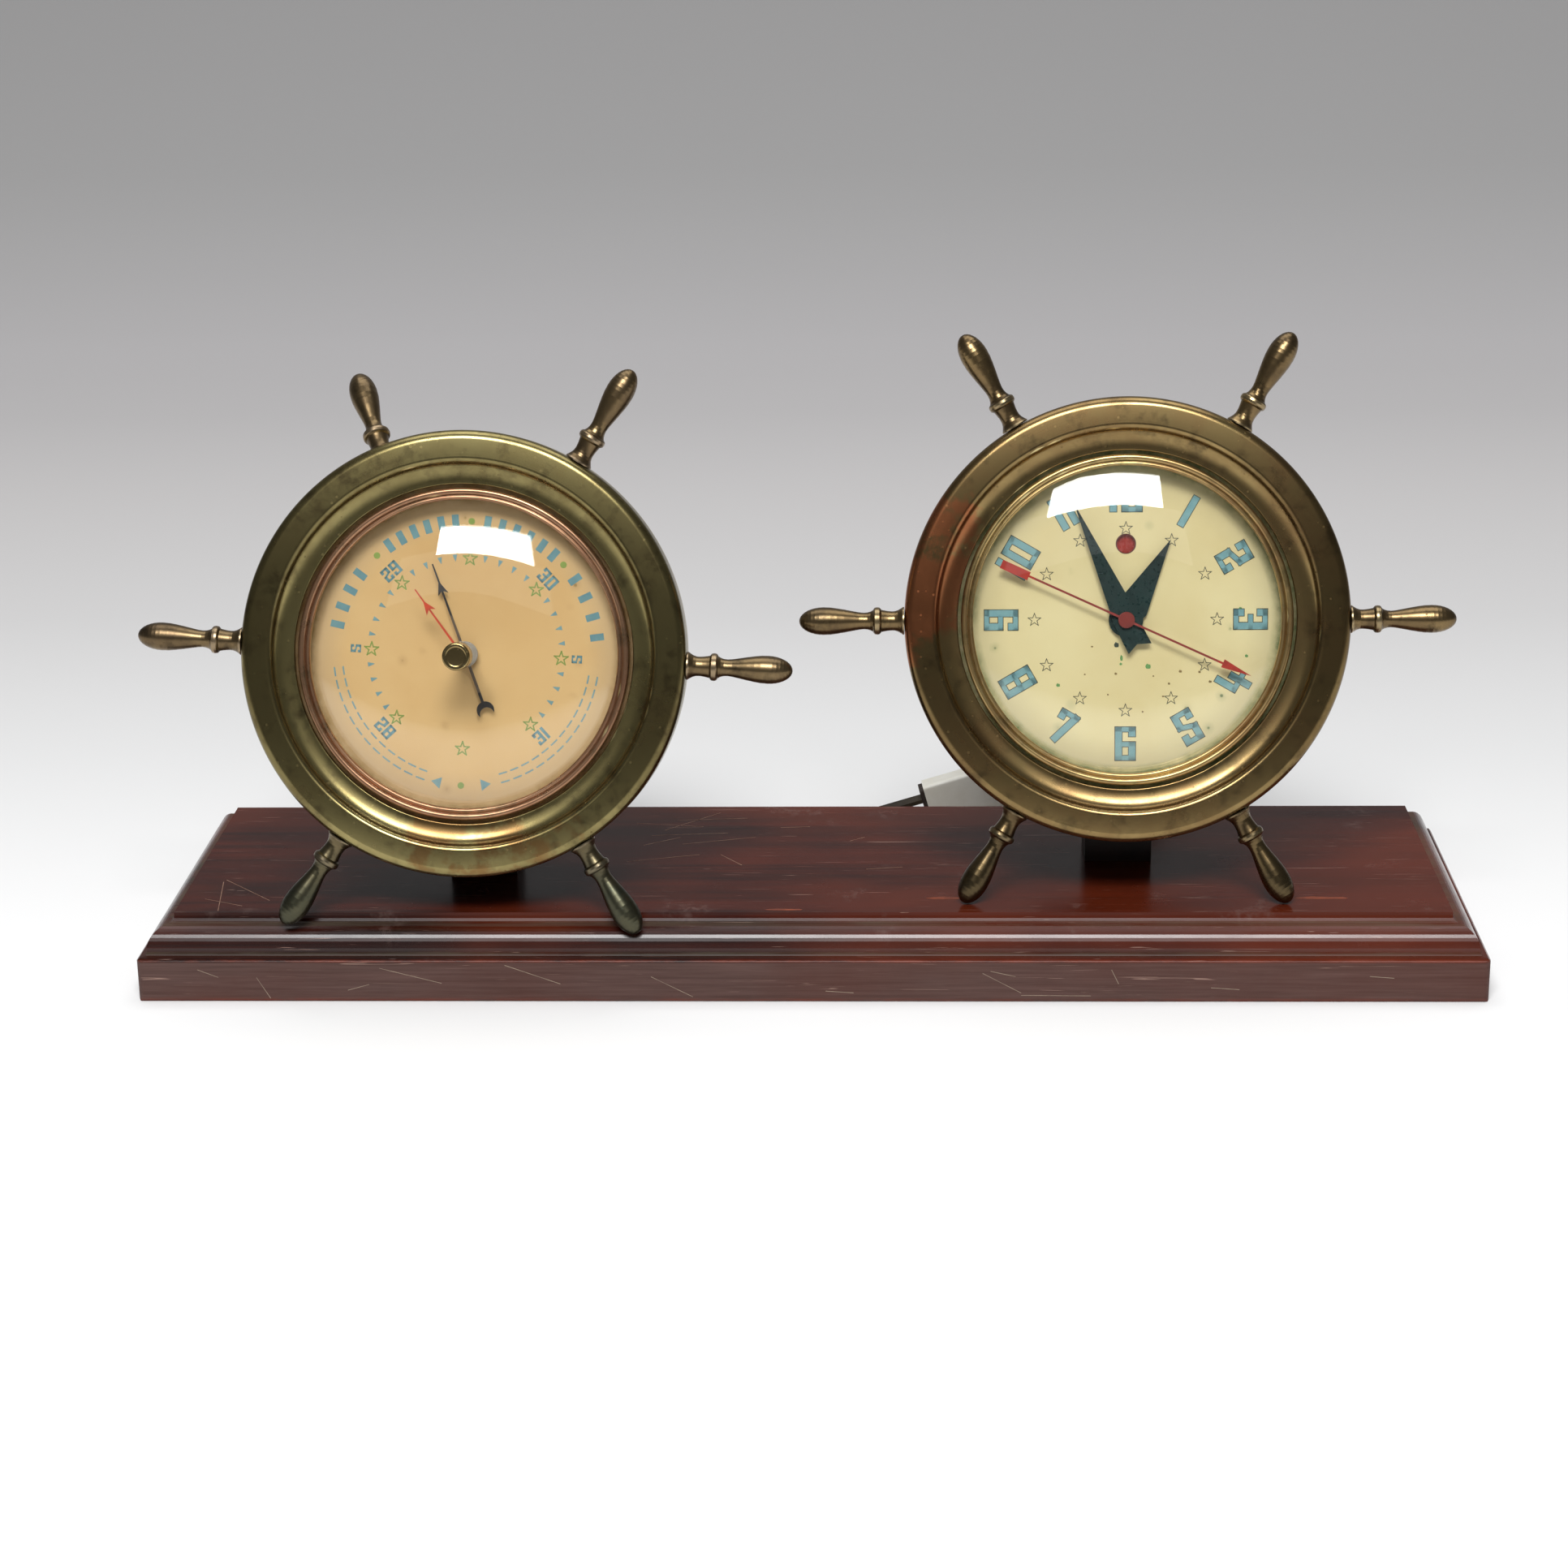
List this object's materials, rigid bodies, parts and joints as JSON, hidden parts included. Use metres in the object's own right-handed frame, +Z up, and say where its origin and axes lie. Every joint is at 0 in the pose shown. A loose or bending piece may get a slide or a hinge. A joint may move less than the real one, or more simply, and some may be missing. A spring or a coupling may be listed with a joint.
{
  "type": "desk clock with barometer",
  "caption": "Electric desk clock and aneroid barometer in ship's-wheel brass rims, leaning back side by side on a moulded wood base.",
  "frame": {"origin": "centre of the wood base's underside", "axes": "+X right towards the clock, -Y towards the viewer, +Z up"},
  "size_m": [0.432, 0.2232, 0.2033],
  "materials": {
    "mahogany": "glossy, worn dark red varnish",
    "block_wood": "dark stained",
    "rim_brass": "aged, olive patina",
    "handle_brass": "aged, polished at the wear points",
    "bright_brass": "turned",
    "bezel_brass": "aged, copper-pink patina",
    "case_metal": "lacquered sheet metal",
    "cover_metal": "black enamel",
    "screw_steel": "plain",
    "crystal_glass": "clear, domed",
    "clock_paper": "cream print, matt",
    "barometer_paper": "warm cream print, matt",
    "hand_black": "dark green-black",
    "hand_red": "red enamel",
    "pointer_black": "black",
    "core_iron": "laminated",
    "copper_wire": "taped winding",
    "rotor_copper": "sealed can",
    "spring_steel": "blued",
    "capsule_silver": "corrugated sheet",
    "cord_vinyl": "smooth cord cover",
    "dark_rubber": "grommet",
    "tie_band": "flat band",
    "ivory_plug": "moulded",
    "fibre_plate": "pressed fibre",
    "blade_brass": "dull"
  },
  "bodies": {
    "frame": {"base_plinth": "mahogany", "clock_block": "block_wood", "barometer_block": "block_wood", "block_screws": "bright_brass", "case_screws": "screw_steel", "clock_rim": "rim_brass", "clock_handles": "handle_brass", "clock_handle_nuts": "bright_brass", "clock_case": "case_metal", "clock_back_cover": "cover_metal", "clock_back_screws": "screw_steel", "clock_glass_bezel": "bezel_brass", "clock_crystal": "crystal_glass", "clock_dial": "clock_paper", "front_plate": "bright_brass", "back_plate": "bright_brass", "plate_pillars": "bright_brass", "pillar_nuts": "screw_steel", "movement_screws": "screw_steel", "field_core": "core_iron", "coil_winding": "copper_wire", "rotor_unit": "rotor_copper", "barometer_rim": "rim_brass", "barometer_handles": "handle_brass", "barometer_handle_nuts": "bright_brass", "barometer_case": "case_metal", "barometer_back_cover": "cover_metal", "barometer_back_screws": "screw_steel", "barometer_glass_bezel": "bezel_brass", "barometer_crystal": "crystal_glass", "barometer_dial": "barometer_paper", "aneroid_base_plate": "bright_brass", "aneroid_screws": "screw_steel", "aneroid_capsule": "capsule_silver", "main_spring": "spring_steel", "pointer_bridge": "bright_brass", "bridge_pillars": "bright_brass", "cord_bushing": "dark_rubber", "cord_lead": "cord_vinyl", "cord_coil": "cord_vinyl", "cord_tail": "cord_vinyl", "cord_tie": "tie_band", "plug_body": "ivory_plug", "plug_face": "fibre_plate", "plug_blades": "blade_brass"},
    "setting_arbor": {"minute_wheel": "bright_brass", "clock_set_knob": "bright_brass"},
    "minute_arbor": {"minute_hand": "hand_black"},
    "hour_pipe": {"hour_wheel": "bright_brass", "hour_hand": "hand_black"},
    "second_arbor": {"second_hand": "hand_red"},
    "indicator": {"indicator_flag": "hand_red", "reset_lever": "screw_steel"},
    "pressure_arbor": {"pressure_pointer": "pointer_black"},
    "rocking_lever": {"lever_arm": "bright_brass"},
    "set_arbor": {"set_hand": "hand_red", "barometer_set_knob": "bright_brass"},
    "adjuster": {"adjusting_screw": "bright_brass"}
  },
  "joints": [
    {"name": "setting_turn", "type": "hinge", "parent": "frame", "child": "setting_arbor", "pos_m": [0.1017, -0.0067, 0.09856], "axis": [0, -0.9703, 0.2419], "continuous": true},
    {"name": "minute_turn", "type": "hinge", "parent": "frame", "child": "minute_arbor", "pos_m": [0.1017, -0.01835, 0.11383], "axis": [0, -0.9703, 0.2419], "continuous": true},
    {"name": "hour_turn", "type": "hinge", "parent": "frame", "child": "hour_pipe", "pos_m": [0.1017, -0.01738, 0.11359], "axis": [0, -0.9703, 0.2419], "continuous": true},
    {"name": "second_turn", "type": "hinge", "parent": "frame", "child": "second_arbor", "pos_m": [0.1017, -0.00865, 0.11141], "axis": [0, -0.9703, 0.2419], "continuous": true},
    {"name": "indicator_swing", "type": "hinge", "parent": "frame", "child": "indicator", "pos_m": [0.1157, 0.00346, 0.13931], "axis": [0, -0.9703, 0.2419], "range_deg": [0, 25]},
    {"name": "pointer_turn", "type": "hinge", "parent": "frame", "child": "pressure_arbor", "pos_m": [-0.1089, -0.02308, 0.10497], "axis": [0, -0.9703, 0.2419], "range_deg": [-157.5, 112.5]},
    {"name": "lever_rock", "type": "hinge", "parent": "frame", "child": "rocking_lever", "pos_m": [-0.10825, -0.00951, 0.11394], "axis": [0.9985, -0.0131, -0.0525], "range_deg": [-3.15, 2.25]},
    {"name": "set_hand_turn", "type": "hinge", "parent": "frame", "child": "set_arbor", "pos_m": [-0.1089, -0.04733, 0.11102], "axis": [0, -0.9703, 0.2419], "continuous": true},
    {"name": "adjuster_turn", "type": "hinge", "parent": "frame", "child": "adjuster", "pos_m": [-0.10771, 0.01135, 0.11903], "axis": [0, -0.9703, 0.2419], "range_deg": [-360, 360]}
  ],
  "couplings": [
    {"joint": "minute_turn", "follows": "setting_turn", "ratio": -3},
    {"joint": "hour_turn", "follows": "setting_turn", "ratio": -0.25},
    {"joint": "lever_rock", "follows": "pointer_turn", "ratio": 0.02}
  ]
}
